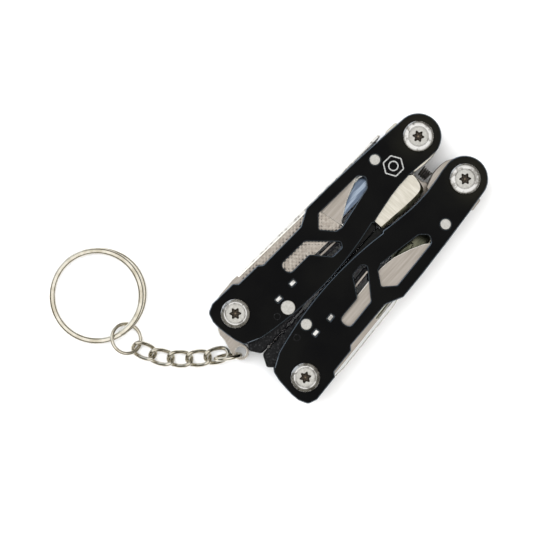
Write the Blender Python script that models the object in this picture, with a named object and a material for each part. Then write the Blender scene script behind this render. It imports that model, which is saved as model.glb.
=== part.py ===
"""A folding pocket multi tool on a key chain, lying folded and flat on its back plates.

Lengths are in millimetres and become metres where a mesh is made (MM). Each handle is drawn in its own
plane: u runs from the tool pivot to the plier pivot, w runs outwards, away from the other handle. Handle a
lies towards +Y and handle b is its mirror image towards -Y. Z is the stacking direction.
"""

import math

import bmesh
import bpy
from mathutils import Vector
from mathutils.geometry import tessellate_polygon

MM = 0.001

# Where the folded tool lies: the point midway between the two plier pivots.
MIDDLE_X = 46.57
MIDDLE_Y = -18.0

# The two handles.
PLIER_HALF_GAP = 8.13
HANDLE_LENGTH = 65.6
HANDLE_TILT = math.radians(3.56)
HANDLES = {"a": 1, "b": -1}

# The stack from the surface up.
HEAD_HEIGHT = 0.9
PLATE = 1.5
CAVITY = 8.0
GAP = 0.1
BACK_LOW = HEAD_HEIGHT
CAVITY_LOW = BACK_LOW + PLATE
CAVITY_HIGH = CAVITY_LOW + CAVITY
FRONT_HIGH = CAVITY_HIGH + PLATE
STACK_HIGH = FRONT_HIGH + HEAD_HEIGHT

# Fasteners.
HEAD_RADIUS = {"tool": 3.8, "plier": 4.0}
POST_RADIUS = 2.4
HOLE_RADIUS = 2.55
WASHER_RADIUS = 4.0
SHANK_RADIUS = 1.6
BORE_RADIUS = 1.75
SHANK_LOW = 5.6
STAR_OUTER = 1.45
STAR_INNER = 1.0
STAR_DEPTH = 0.75
SPACER_AT = (53.4, 3.45)
SPACER_RADIUS = 1.45
PIN_PROUD = 0.15
LOCK_PIN_AT = (10.8, -8.35)
LOCK_PIN_RADIUS = {"a": 1.55, "b": 1.5}
TABS = ((10.6, -5.1), (16.05, -4.6))
TAB_HALF_LENGTH = 0.75
TAB_HALF_WIDTH = 0.45

# Pliers, drawn about the point midway between the plier pivots.
JAW_PIVOT_X = -15.9
JAW_RIVET_RADIUS = 2.2
JAW_LOW = CAVITY_LOW + 0.2
JAW_HIGH = CAVITY_HIGH - 0.2
JAW_SPLIT = 6.4
NOSE_LOW = 4.2
NOSE_HIGH = 8.6
TANG_EYE_RADIUS = 5.6
TANG_STEP = 0.2

# Key chain.
WIRE = 1.1
KEY_RING_WIRE = 1.0
LINK_LENGTH = 7.15
LINK_WIDTH = 4.75
LUG_LOW = CAVITY_LOW + GAP
LUG_HIGH = LUG_LOW + 1.2
LEVER_LOW = LUG_HIGH + 0.3
SPLIT_RADIUS = 12.5
SPLIT_WIDTH = 1.5
SPLIT_THICKNESS = 1.05
SPLIT_PITCH = 1.15
SPLIT_SWELL = 0.7
LINK_HEIGHT = 1.5
LINKS = (
    # centre x, centre y, direction in degrees
    (-77.1, 8.37, 146.6),
    (-80.82, 11.42, 138),
    (-84.2, 14.9, 131),
    (-87.12, 18.77, 121),
    (-88.97, 23.23, 110.1),
)

ROUND_STEPS = 24
HOLE_STEPS = 16
PIN_STEPS = 12
CHAMFER = 0.2

LOOKS = {
    "black_steel": ((0.012, 0.012, 0.013), 0.42, 0.6),
    "black_lever": ((0.016, 0.016, 0.017), 0.55, 0.4),
    "bright_steel": ((0.72, 0.70, 0.66), 0.22, 1.0),
    "brushed_steel": ((0.45, 0.40, 0.35), 0.38, 1.0),
    "jaw_steel": ((0.66, 0.62, 0.54), 0.36, 1.0),
    "spring_steel": ((0.16, 0.15, 0.14), 0.35, 1.0),
    "nickel": ((0.68, 0.63, 0.54), 0.16, 1.0),
}


def clear_scene():
    for thing in list(bpy.data.objects):
        bpy.data.objects.remove(thing, do_unlink=True)


def make_looks():
    made = {}
    for name, (colour, roughness, metallic) in LOOKS.items():
        look = bpy.data.materials.new(name)
        look.use_nodes = True
        shader = look.node_tree.nodes["Principled BSDF"]
        shader.inputs["Base Color"].default_value = (*colour, 1.0)
        shader.inputs["Roughness"].default_value = roughness
        shader.inputs["Metallic"].default_value = metallic
        made[name] = look
    return made


# --- outlines ---------------------------------------------------------------------------------------


def arc(centre, radius, start, end, count):
    """Points on a circle from the start angle to the end angle, in degrees, ends included."""
    turns = [math.radians(start + (end - start) * step / count) for step in range(count + 1)]
    return [(centre[0] + radius * math.cos(t), centre[1] + radius * math.sin(t)) for t in turns]


def circle(centre, radius, count=ROUND_STEPS):
    return arc(centre, radius, 0, 360, count)[:-1]


def rounded(corners, steps=2):
    """A closed outline through (x, y, radius) corners, each one rounded to its radius."""
    outline = []
    for index, (x, y, radius) in enumerate(corners):
        here = Vector((x, y))
        before = Vector(corners[index - 1][:2]) - here
        after = Vector(corners[(index + 1) % len(corners)][:2]) - here
        half = before.angle(after) / 2
        if radius == 0 or half > math.radians(88):
            outline.append((x, y))
            continue
        reach = min(radius / math.tan(half), before.length * 0.45, after.length * 0.45)
        enter = here + before.normalized() * reach
        leave = here + after.normalized() * reach
        for step in range(steps + 1):
            t = step / steps
            point = enter * (1 - t) ** 2 + here * 2 * t * (1 - t) + leave * t**2
            outline.append((point.x, point.y))
    return outline


def star(outer, inner):
    """The outline of a six-lobed driver socket."""
    outline = []
    for step in range(24):
        turn = math.radians(15 * step)
        wave = 0.5 + 0.5 * math.cos(6 * turn)
        radius = inner + (outer - inner) * wave
        outline.append((radius * math.cos(turn), radius * math.sin(turn)))
    return outline


def mirrored(outline, side):
    return [(x, y * side) for x, y in outline]


def shifted(outline, dx, dy):
    return [(x + dx, y + dy) for x, y in outline]


# --- solids -----------------------------------------------------------------------------------------


def link_object(name, data, look, parent, place=(0, 0, 0)):
    thing = bpy.data.objects.new(name, data)
    bpy.context.scene.collection.objects.link(thing)
    if look is not None:
        data.materials.append(look)
    thing.parent = parent
    thing.location = Vector(place) * MM
    return thing


def axis_empty(name, place, parent=None, turn=0.0):
    """An empty that marks a hinge axis, and holds what turns about it."""
    marker = bpy.data.objects.new(name, None)
    bpy.context.scene.collection.objects.link(marker)
    marker.parent = parent
    marker.location = Vector(place) * MM
    marker.rotation_euler = (0, 0, turn)
    marker.empty_display_size = 0.004
    return marker


def mesh_of(name, points, faces):
    mesh = bpy.data.meshes.new(name)
    mesh.from_pydata([Vector(point) * MM for point in points], [], faces)
    shell = bmesh.new()
    shell.from_mesh(mesh)
    bmesh.ops.recalc_face_normals(shell, faces=shell.faces)
    shell.to_mesh(mesh)
    shell.free()
    mesh.shade_smooth()
    mesh.set_sharp_from_angle(angle=math.radians(35))
    return mesh


def signed_area(loop):
    return sum(x0 * y1 - x1 * y0 for (x0, y0), (x1, y1) in zip(loop, loop[1:] + loop[:1])) / 2


def inset(loop, distance):
    """The loop moved to its left by a distance, with mitred corners."""
    moved = []
    for index, here in enumerate(loop):
        here = Vector(here)
        enter = (here - Vector(loop[index - 1])).normalized().orthogonal()
        leave = (Vector(loop[(index + 1) % len(loop)]) - here).normalized().orthogonal()
        corner = enter + leave
        moved.append(here + corner * (distance / max(1 + enter.dot(leave), 0.5)))
    return [(x, y) for x, y in moved]


def plate(name, loops, low, high, look, parent, place=(0, 0, 0), chamfer=CHAMFER):
    """A flat piece: an outer outline and its holes, with chamfered edges."""
    outer = loops[0] if signed_area(loops[0]) > 0 else loops[0][::-1]
    walls = [outer] + [loop if signed_area(loop) < 0 else loop[::-1] for loop in loops[1:]]
    rims = [inset(loop, chamfer) for loop in walls]
    points, faces, bottom, top = [], [], [], []
    for wall, rim in zip(walls, rims):
        levels = [(rim, low), (wall, low + chamfer), (wall, high - chamfer), (rim, high)]
        levels = levels if chamfer else [(rim, low), (rim, high)]
        count, first = len(wall), len(points)
        for outline, z in levels:
            points += [(x, y, z) for x, y in outline]
        for ring in range(len(levels) - 1):
            here = first + ring * count
            for i in range(count):
                j = (i + 1) % count
                faces.append((here + i, here + j, here + count + j, here + count + i))
        bottom += range(first, first + count)
        top += range(len(points) - count, len(points))
    flat = [[Vector((x, y, 0)) for x, y in rim] for rim in rims]
    triangles = tessellate_polygon(flat)
    for corners in (bottom, top):
        faces += [tuple(corners[i] for i in triangle) for triangle in triangles]
    return link_object(name, mesh_of(name, points, faces), look, parent, place)


def block(name, outline, low, high, look, parent, place=(0, 0, 0)):
    """A plain prism, as a mesh that a Boolean can use."""
    count = len(outline)
    points = [(x, y, low) for x, y in outline] + [(x, y, high) for x, y in outline]
    faces = [tuple(range(count)), tuple(range(count, 2 * count))]
    faces += [(i, (i + 1) % count, count + (i + 1) % count, count + i) for i in range(count)]
    return link_object(name, mesh_of(name, points, faces), look, parent, place)


def turned(name, profile, look, parent, place=(0, 0, 0), steps=ROUND_STEPS):
    """A turned piece from an open (radius, z) profile whose first and last points are on the axis."""
    points = []
    for radius, z in profile[1:-1]:
        points += [(x, y, z) for x, y in circle((0, 0), radius, steps)]
    points += [(0, 0, profile[0][1]), (0, 0, profile[-1][1])]
    rings = len(profile) - 2
    faces = []
    for i in range(steps):
        j = (i + 1) % steps
        faces.append((rings * steps, j, i))
        faces.append((rings * steps + 1, (rings - 1) * steps + i, (rings - 1) * steps + j))
        for ring in range(rings - 1):
            here = ring * steps
            faces.append((here + i, here + j, here + steps + j, here + steps + i))
    return link_object(name, mesh_of(name, points, faces), look, parent, place)


def tube(name, route, radius, closed, look, parent, place=(0, 0, 0)):
    curve = bpy.data.curves.new(name, "CURVE")
    curve.dimensions = "3D"
    curve.bevel_depth = radius * MM
    curve.bevel_resolution = 1
    curve.use_fill_caps = not closed
    spline = curve.splines.new("POLY")
    spline.points.add(len(route) - 1)
    for point, here in zip(spline.points, route):
        point.co = (*(Vector(here) * MM), 1)
    spline.use_cyclic_u = closed
    return link_object(name, curve, look, parent, place)


def combine(target, helper, operation):
    """Cuts a hidden helper from the target, or adds it to the target."""
    helper.hide_render = True
    helper.display_type = "WIRE"
    change = target.modifiers.new(f"{operation.lower()}_{helper.name}", "BOOLEAN")
    change.operation = operation
    change.solver = "MANIFOLD"
    change.object = helper


# --- handles ----------------------------------------------------------------------------------------


def plate_outline():
    """One handle plate, from its outer corner at the tool end round to the plier end and back."""
    outer = [(-5.7, 2.4, 0), (-4.9, 4.9, 1.5), (-2.6, 5.95, 1), (4.8, 5.95, 0.4), (5.8, 4.92, 0.4)]
    outer += [(12.7, 4.9, 0.5), (13.8, 4.0, 0.5), (27.6, 4.35, 2.0), (32.0, 6.75, 1.2)]
    outer += [(40.0, 6.85, 0), (50.0, 6.65, 0), (59.0, 6.35, 0)]
    end = arc((HANDLE_LENGTH, 0), 6.0, 84, -84, 14)
    inner = [(63.5, -5.95, 0), (61.0, -5.7, 0), (57.0, -5.5, 0), (53.0, -5.75, 0), (50.0, -6.2, 0)]
    inner += [(47.0, -6.85, 0), (44.0, -7.5, 0), (42.0, -8.05, 0)]
    belly = arc((17.5, 86.3), 97.0, -75.7, -100.0, 8)
    tail = [(-2.9, -8.4, 0.8), (-4.1, -7.1, 0.8), (-4.9, -4.8, 0), (-5.4, -2.0, 0), (-5.7, 0.2, 0)]
    return rounded(outer) + end + [(x, y) for x, y, _ in inner] + belly + rounded(tail)


def long_window():
    corners = [(30.5, 0.6, 0.4), (33.3, 3.6, 0.8), (47.4, 3.6, 1.2), (48.7, 1.9, 1.0)]
    corners += [(46.9, -0.3, 1.0), (41.0, -1.7, 0), (35.2, -3.1, 0.5), (33.3, -2.7, 0.6)]
    return rounded(corners)


def bent_window():
    corners = [(17.0, 0.9, 1.2), (25.8, 0.9, 1.0), (32.4, -5.6, 1.2), (31.6, -6.9, 0.7)]
    corners += [(28.2, -6.9, 0.7), (24.3, -2.3, 1.0), (17.0, -2.4, 1.2)]
    return rounded(corners)


def tab_slot(centre, margin):
    half_x, half_y = TAB_HALF_LENGTH + margin, TAB_HALF_WIDTH + margin
    corners = [(-half_x, -half_y), (half_x, -half_y), (half_x, half_y), (-half_x, half_y)]
    return shifted(corners, *centre)


def handle_plate(name, key, low, high, looks, parent, chamfer=CHAMFER):
    side = HANDLES[key]
    loops = [plate_outline(), long_window(), bent_window()]
    loops += [circle((x, 0), HOLE_RADIUS, HOLE_STEPS) for x in (0, HANDLE_LENGTH)]
    loops += [circle(SPACER_AT, SPACER_RADIUS + GAP, PIN_STEPS)]
    loops += [circle(LOCK_PIN_AT, LOCK_PIN_RADIUS[key] + GAP, PIN_STEPS)]
    loops += [tab_slot(centre, GAP) for centre in TABS]
    loops = [mirrored(loop, side) for loop in loops]
    plate(name, loops, low, high, looks["black_steel"], parent, chamfer=chamfer)


def pivot_screw(name, head, looks, parent, place):
    """The front half of a pivot: a low dished head with a six-lobed socket, and its shank."""
    low = FRONT_HIGH + GAP / 2
    top = STACK_HIGH
    profile = [(0, SHANK_LOW), (SHANK_RADIUS, SHANK_LOW), (SHANK_RADIUS, low), (head - 0.1, low)]
    profile += [(head, low + 0.15), (head - 0.35, top - 0.25), (2.75, top), (2.6, top - 0.12)]
    profile += [(2.45, top - 0.02), (0, top - 0.02)]
    screw = turned(name, profile, looks["bright_steel"], parent, place)
    outline = star(STAR_OUTER, STAR_INNER)
    socket = block(f"{name}_socket", outline, top - STAR_DEPTH, top + 1, None, parent, place)
    combine(screw, socket, "DIFFERENCE")


def pivot_post(name, head, looks, parent, place):
    """The back half of a pivot: a flat head and the hollow post that everything turns on."""
    profile = [(0, 0), (head - 0.4, 0), (head, 0.35), (head, HEAD_HEIGHT - GAP / 2)]
    profile += [(POST_RADIUS, HEAD_HEIGHT - GAP / 2), (POST_RADIUS, FRONT_HIGH - GAP)]
    profile += [(BORE_RADIUS, FRONT_HIGH - GAP), (BORE_RADIUS, SHANK_LOW - 0.3), (0, SHANK_LOW - 0.3)]
    turned(name, profile, looks["bright_steel"], parent, place, HOLE_STEPS)


def pin(name, radius, look, parent, place):
    """A rivet that ties the two plates together, just proud of each."""
    low, high = BACK_LOW - PIN_PROUD, FRONT_HIGH + PIN_PROUD
    edge = radius - CHAMFER
    profile = [(0, low), (edge, low), (radius, low + CHAMFER), (radius, high - CHAMFER), (edge, high)]
    turned(name, profile + [(0, high)], look, parent, place, PIN_STEPS)


def lock_lever(key, looks, axis):
    """The black release lever, with a ribbed thumb pad that stands out past the plates."""
    x, y = LOCK_PIN_AT
    pad = [(-4.3, -9.3, 0.5), (-2.5, -11.6, 0.6)]
    ribs = []
    for index in range(4):
        start = -1.9 + 2.6 * index
        depth = -11.75 + 0.065 * (start + 1.9)
        ribs += [(start, depth, 0.2), (start + 1.5, depth + 0.08, 0.2), (start + 2.1, depth + 0.5, 0.2)]
    body = [(9.6, -10.8, 0.5), (14.0, -10.6, 1.5), (14.6, -7.4, 1.5), (12.0, -6.2, 1.5), (8.6, -6.3, 1.0)]
    body += [(2.5, -7.2, 1.0), (-3.2, -7.9, 0.8)]
    outline = shifted(rounded(pad + ribs + body), -x, -y)
    loops = [outline, circle((0, 0), LOCK_PIN_RADIUS[key] + GAP, PIN_STEPS)]
    loops = [mirrored(loop, HANDLES[key]) for loop in loops]
    plate(f"lock_lever_{key}", loops, LEVER_LOW, JAW_HIGH, looks["black_lever"], axis, chamfer=0)


def lock_spring(key, looks, parent):
    """The long leaf spring bar, staked through both plates by two small tabs."""
    side = HANDLES[key]
    bar = [(9.3, -5.6, 0.3), (31.6, -5.7, 0.3), (31.8, -4.2, 0.3), (9.3, -4.3, 0.3)]
    outline = mirrored(rounded(bar), side)
    spring = block(f"lock_spring_{key}", outline, JAW_LOW, JAW_HIGH, looks["spring_steel"], parent)
    for number, centre in enumerate(TABS, 1):
        outline = mirrored(tab_slot(centre, 0), side)
        tab = block(f"lock_tab_{key}{number}", outline, BACK_LOW + GAP, FRONT_HIGH - 0.05, None, parent)
        combine(spring, tab, "UNION")


# --- folding tools ----------------------------------------------------------------------------------


def tool(name, key, corners, layer, looks, axis, holes=(), chamfer=CHAMFER):
    """A flat folding tool with a round eye at the tool pivot, in its layer of the stack."""
    eye = arc((0, 0), 5.2, 200, 110, 5)
    outline = eye + rounded(corners)
    loops = [outline, circle((0, 0), HOLE_RADIUS, HOLE_STEPS), *holes]
    loops = [mirrored(loop, HANDLES[key]) for loop in loops]
    plate(name, loops, *layer, looks["brushed_steel"], axis, chamfer=chamfer)


def file_tool(looks, axis):
    corners = [(-1.0, 6.2, 1.2), (2.5, 6.5, 0.5), (5.5, 6.85, 0.5), (11.5, 6.4, 1.0), (31.0, 6.3, 0)]
    corners += [(46.6, 6.0, 1.5), (48.4, 4.6, 0.8), (45.8, 2.9, 1.5), (41.0, 0.9, 1.5), (36.2, -2.1, 1.5)]
    corners += [(31.0, -3.4, 1.0), (10.5, -3.4, 2.0), (3.0, -5.0, 2.0)]
    tool("file", "a", corners, (8.5, 10.3), looks, axis)


def flat_driver(looks, axis):
    corners = [(3.0, 4.6, 2.0), (9.0, 3.2, 2.0), (40.0, 2.9, 1.0), (47.5, 3.1, 0.3), (49.6, 2.4, 0.1)]
    corners += [(49.6, -1.2, 0.1), (47.5, -1.9, 0.3), (40.0, -1.6, 1.0), (9.0, -2.6, 2.0), (3.0, -5.0, 2.0)]
    tool("flat_screwdriver", "a", corners, (6.4, 8.0), looks, axis, chamfer=0)


def serrated_blade(looks, axis):
    corners = [(3.0, 5.2, 2.0), (9.0, 6.8, 2.0), (32.0, 7.15, 0), (52.0, 7.35, 0), (57.2, 7.8, 0.4)]
    corners += [(58.9, 7.7, 0.4), (59.0, 6.9, 0.2), (54.5, 5.9, 1.0), (50.0, 4.6, 1.5), (46.0, 1.6, 1.5)]
    teeth = []
    for index in range(9):
        x = 43.0 - 3.2 * index
        teeth += [(x, -0.9, 0.1), (x - 1.6, -0.2, 0.5)]
    tail = [(13.0, -1.6, 0.5), (9.5, -1.6, 1.0), (3.0, -5.0, 2.0)]
    tool("serrated_blade", "a", corners + teeth + tail, (4.3, 5.9), looks, axis, chamfer=0)


def knife_blade(looks, axis):
    corners = [(3.5, 5.9, 1.0), (8.0, 6.4, 1.0), (28.5, 6.4, 1.0), (31.5, 5.9, 1.0), (43.5, 5.9, 1.5)]
    corners += [(48.6, 4.7, 0.2), (46.0, 2.3, 1.5), (43.0, 0.5, 1.5), (38.5, -1.6, 2.0), (34.5, -2.5, 1.5)]
    corners += [(29.5, -2.8, 1.5), (11.5, -2.8, 0.4), (9.8, -2.2, 0.6), (7.6, -2.6, 0.6), (3.0, -5.0, 2.0)]
    nick = [(23.0, 4.6, 0.2), (30.0, 4.6, 0.2), (29.4, 5.2, 0.2), (23.6, 5.2, 0.2)]
    tool("knife_blade", "b", corners, (8.5, 10.3), looks, axis, [rounded(nick)])


def cross_driver(looks, axis):
    corners = [(3.0, 4.6, 2.0), (8.5, 1.6, 2.0), (41.0, 1.6, 0.3), (44.5, 0.5, 0.2), (44.5, -0.5, 0.2)]
    corners += [(41.0, -1.6, 0.3), (8.5, -1.8, 2.0), (3.0, -5.0, 2.0)]
    tool("cross_screwdriver", "b", corners, (4.9, 7.3), looks, axis, chamfer=0.5)


def bottle_opener(looks, axis):
    corners = [(3.0, 4.8, 2.0), (9.0, 5.4, 2.0), (24.0, 5.4, 1.0), (36.0, 5.2, 1.0), (44.0, 3.9, 0.5)]
    corners += [(49.6, 3.3, 0.3), (49.6, -0.4, 0.3), (43.5, -1.4, 0.8), (41.6, -3.1, 0.8), (38.6, -2.6, 0.8)]
    corners += [(37.6, -0.2, 1.0), (32.0, 0.9, 1.5), (27.0, -0.4, 1.2), (25.5, -3.0, 1.0), (10.5, -3.0, 2.0)]
    corners += [(3.0, -5.0, 2.0)]
    tool("bottle_opener", "b", corners, (2.5, 4.3), looks, axis, chamfer=0)


def lanyard_lug(looks, axis):
    """The flat steel eye on tool pivot a that the key chain hangs from."""
    eye_at = (-6.1, -8.2)
    outline = arc((0, 0), 5.0, 65, -60, 7)
    outline += [(-1.0, -6.2), (-3.4, -7.0)]
    outline += arc(eye_at, 2.2, 30, -180, 9)
    outline += [(-8.0, -6.2), (-7.1, -3.2), (-7.0, -1.2), (-6.4, 0.1), (-4.4, 1.9), (-2.5, 4.0), (-0.5, 4.9)]
    loops = [outline, circle((0, 0), HOLE_RADIUS, HOLE_STEPS), circle(eye_at, 1.4, PIN_STEPS)]
    plate("lanyard_lug", loops, LUG_LOW, LUG_HIGH, looks["brushed_steel"], axis, chamfer=0)


def washers(key, spans, looks, axis):
    for number, (low, high) in enumerate(spans, 1):
        loops = [circle((0, 0), radius, HOLE_STEPS) for radius in (WASHER_RADIUS, HOLE_RADIUS)]
        plate(f"washer_{key}{number}", loops, low, high, looks["bright_steel"], axis, chamfer=0)


# --- pliers -----------------------------------------------------------------------------------------


def about_pivot(radius, start, end, count):
    return arc((JAW_PIVOT_X, 0), radius, start, end, count)


def tang_edge(key):
    """The edge of a tang that faces the other one, from its root to the eye, and round the eye."""
    edge = {
        "a": [(-6.9, 2.1), (-4.0, 1.95), (-1.0, 1.9), (1.2, 2.2)],
        "b": [(-6.9, 1.2), (-4.3, 1.12), (-1.3, 1.1), (0.5, 1.5), (2.0, 2.4)],
    }
    return edge[key] + arc((0, PLIER_HALF_GAP), TANG_EYE_RADIUS, -62, 60, 8)


def boss_outline(right_edge, key):
    """The round joint boss and its tang, for the jaw whose tang is on the +Y side."""
    near = [(-23.7, -1.1, 0), (-19.5, -2.15, 0), (-15.5, -2.8, 0)]
    near += [(-12.0, -2.95, 0), (-9.4, -2.5, 0.3)]
    shoulder = [(-0.4, 14.85, 0.6), (-4.6, 15.2, 0.6), (-5.6, 12.6, 1.0)]
    shoulder += [(-7.4, 9.6, 2.0), (-12.5, 4.7, 2.0)]
    far = about_pivot(8.0, 145, 167, 4)
    return rounded(near + right_edge) + tang_edge(key) + rounded(shoulder, 1) + far


def nose_outline():
    """The tapered gripping nose on the -Y side, outside the joint boss."""
    root = about_pivot(8.5, 181, 209, 6)
    side = [(-34.0, -3.0), (-44.5, -1.75), (-46.6, -1.2), (-46.9, -0.15)]
    return root + side


def nose_root():
    """The part of the nose that reaches back into the boss, on the nose's own half of the stack."""
    return [(-20.0, -0.6), (-26.0, -0.6), (-26.0, -3.4), (-22.4, -3.2), (-21.0, -1.4)]


def tang_outline(radius, key):
    """The stretch of the tang that is as thick as both jaws, outside a circle about the jaw pivot."""
    inner = about_pivot(radius, 42, 16.5, 6)
    shoulder = [(-0.4, 14.85, 0.6), (-4.6, 15.2, 0.6), (-5.6, 12.6, 1.0), (-7.4, 9.6, 1.0)]
    return inset(inner + tang_edge(key)[1:] + rounded(shoulder, 1), TANG_STEP)


def jaw(key, looks, parent):
    """One jaw. Jaw a has the top half of the joint and jaw b the bottom half."""
    side = HANDLES[key]
    top = key == "a"
    low, high = (JAW_SPLIT + GAP, JAW_HIGH) if top else (JAW_LOW, JAW_SPLIT - GAP)
    other_low, other_high = (JAW_LOW, JAW_SPLIT + 0.5) if top else (JAW_SPLIT - 0.5, JAW_HIGH)
    if top:
        right_edge = [(-8.7, -1.7, 0.3), (-8.15, 0.2, 0.3), (-7.9, 1.7, 0.4)]
    else:
        right_edge = [(-8.0, -1.9, 0.3), (-7.5, -0.5, 0.3), (-7.5, 0.6, 0.3)]
    look = looks["jaw_steel"]
    made = block(f"jaw_{key}", mirrored(boss_outline(right_edge, key), side), low, high, look, parent)
    tang_radius = 8.95 if top else 8.1
    root_low, root_high = (low + 0.1, NOSE_HIGH) if top else (NOSE_LOW, high - 0.1)
    extras = {
        "tang": (tang_outline(tang_radius, key), other_low, other_high),
        "nose": (nose_outline(), NOSE_LOW, NOSE_HIGH),
        "root": (nose_root(), root_low, root_high),
    }
    for name, (outline, start, end) in extras.items():
        extra = block(f"jaw_{key}_{name}", mirrored(outline, side), start, end, None, parent)
        combine(made, extra, "UNION")
    holes = {
        "rivet_hole": ((JAW_PIVOT_X, 0), JAW_RIVET_RADIUS + GAP),
        "post_hole": ((0, PLIER_HALF_GAP * side), HOLE_RADIUS),
    }
    for name, (centre, radius) in holes.items():
        cutter = block(f"jaw_{key}_{name}", circle(centre, radius), 0, STACK_HIGH, None, parent)
        combine(made, cutter, "DIFFERENCE")


def jaw_spring(looks, parent):
    """A short compression spring that pushes the two tangs apart."""
    turns, steps, coil, wire = 4, 8, 1.25, 0.2
    low, high = -0.8, 1.6
    route = []
    for step in range(turns * steps + 1):
        angle = 2 * math.pi * step / steps
        y = low + (high - low) * step / (turns * steps)
        across, up = coil * math.cos(angle), coil * math.sin(angle)
        route.append((-5.7 + across, y, JAW_SPLIT + 1.2 + up))
    tube("jaw_spring", route, wire, False, looks["spring_steel"], parent)


# --- key chain --------------------------------------------------------------------------------------


def link_route(steps=18):
    """The centre line of a twisted chain link, which lets a row of links lie flat."""
    half_length = (LINK_LENGTH - WIRE) / 2
    half_width = (LINK_WIDTH - WIRE) / 2
    route = []
    for step in range(steps):
        t = 2 * math.pi * step / steps
        along, across = (math.copysign(abs(part) ** 0.85, part) for part in (math.cos(t), math.sin(t)))
        route.append((half_length * along, half_width * across, -half_width / 2 * math.sin(2 * t)))
    return route


def ring_route(radius):
    return [(x, y, 0) for x, y in circle((0, 0), radius, 20)]


def split_ring(looks, parent):
    """A key ring: a flat wire wound one and a half times round, whose second turn lies on the first."""
    start, length, ramp_from, ramp_to, swell_to = 65.5, 532, 285, 350, 180
    half_w, half_t = SPLIT_WIDTH / 2, SPLIT_THICKNESS / 2
    points, faces = [], []
    travelled = range(0, length + 1, 7)
    for travel in travelled:
        share = min(max((travel - ramp_from) / (ramp_to - ramp_from), 0), 1)
        z = half_t + SPLIT_PITCH * share * share * (3 - 2 * share)
        swell = SPLIT_SWELL * math.sin(math.pi * min(travel, swell_to) / swell_to) ** 2
        middle = SPLIT_RADIUS - half_w + swell
        turn = math.radians(start - travel)
        for radial, up in ((-half_w, -half_t), (half_w, -half_t), (half_w, half_t), (-half_w, half_t)):
            radius = middle + radial
            points.append((radius * math.cos(turn), radius * math.sin(turn), z + up))
    for i in range(len(travelled) - 1):
        for j in range(4):
            k = (j + 1) % 4
            faces.append((4 * i + j, 4 * i + k, 4 * i + 4 + k, 4 * i + 4 + j))
    last = 4 * (len(travelled) - 1)
    faces += [(3, 2, 1, 0), (last, last + 1, last + 2, last + 3)]
    mesh = mesh_of("split_ring", points, faces)
    ring = link_object("split_ring", mesh, looks["nickel"], parent, (0, 0, 0.87))
    ring.rotation_euler = (math.radians(-4.3), 0, 0)


def key_chain(looks, root):
    wire, nickel = WIRE / 2, looks["nickel"]
    small = axis_empty("lug_ring_axis", (-72.1, 4.4, 0), root)
    small_ring = tube("lug_ring", ring_route(3.3), wire, True, nickel, small, (-3.16, 1.6, 3.83))
    small_ring.rotation_euler = [math.radians(turn) for turn in (-83.2, 19.8, -36.3)]
    for number, (x, y, turn) in enumerate(LINKS, 1):
        axis = axis_empty(f"chain_link_{number}_axis", (x, y, LINK_HEIGHT), root, math.radians(turn))
        tube(f"chain_link_{number}", link_route(), wire, True, nickel, axis)
    big = axis_empty("key_ring_link_axis", (-89.74, 28.8, 2.19), root)
    big_ring = tube("key_ring_link", ring_route(3.95), KEY_RING_WIRE / 2, True, nickel, big)
    big_ring.rotation_euler = [math.radians(turn) for turn in (9.9, 22.7, 9.3)]
    split_ring(looks, axis_empty("split_ring_axis", (-86.7, 42.0, 0), root))


# --- assembly ---------------------------------------------------------------------------------------


def build_handle(key, looks, root):
    side = HANDLES[key]
    fold = axis_empty(f"handle_{key}_fold_axis", (0, side * PLIER_HALF_GAP, 0), root, -side * HANDLE_TILT)
    tools = axis_empty(f"handle_{key}_tool_axis", (-HANDLE_LENGTH, 0, 0), fold)
    x, y = LOCK_PIN_AT
    lever = axis_empty(f"lock_lever_{key}_axis", (x, side * y, 0), tools)
    handle_plate(f"back_plate_{key}", key, BACK_LOW, CAVITY_LOW, looks, tools, chamfer=0)
    handle_plate(f"front_plate_{key}", key, CAVITY_HIGH, FRONT_HIGH, looks, tools)
    for name, at in (("tool", (0, 0, 0)), ("plier", (HANDLE_LENGTH, 0, 0))):
        pivot_screw(f"{name}_screw_{key}", HEAD_RADIUS[name], looks, tools, at)
        pivot_post(f"{name}_post_{key}", HEAD_RADIUS[name], looks, tools, at)
    spacer_at = (SPACER_AT[0], side * SPACER_AT[1], 0)
    pin(f"spacer_rivet_{key}", SPACER_RADIUS, looks["bright_steel"], tools, spacer_at)
    pin(f"lock_pin_{key}", LOCK_PIN_RADIUS[key], looks["bright_steel"], lever, (0, 0, 0))
    lock_lever(key, looks, lever)
    lock_spring(key, looks, tools)
    return tools


def build():
    clear_scene()
    looks = make_looks()
    root = axis_empty("folded_tool", (MIDDLE_X, MIDDLE_Y, 0))
    tools_a = build_handle("a", looks, root)
    tools_b = build_handle("b", looks, root)
    file_tool(looks, tools_a)
    flat_driver(looks, tools_a)
    serrated_blade(looks, tools_a)
    knife_blade(looks, tools_b)
    cross_driver(looks, tools_b)
    bottle_opener(looks, tools_b)
    lanyard_lug(looks, tools_a)
    washers("a", ((3.8, 4.2), (6.0, 6.3), (8.1, 8.4)), looks, tools_a)
    washers("b", ((4.4, 4.8), (7.4, 8.4)), looks, tools_b)
    for key in HANDLES:
        jaw(key, looks, root)
    radius = JAW_RIVET_RADIUS
    profile = [(0, JAW_LOW), (radius, JAW_LOW), (radius, JAW_HIGH), (0, JAW_HIGH)]
    turned("jaw_rivet", profile, looks["jaw_steel"], root, (JAW_PIVOT_X, 0, 0))
    jaw_spring(looks, root)
    key_chain(looks, root)


build()
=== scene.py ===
"""The looks of the folded pocket multi tool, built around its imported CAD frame, on a white studio floor.

Lengths are in millimetres and become metres where a mesh is made (MM). A handle is drawn in its own plane:
u runs from the tool pivot to the plier pivot and w runs outwards. The pliers and the key chain are drawn
about the point midway between the two plier pivots.
"""

import math

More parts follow.
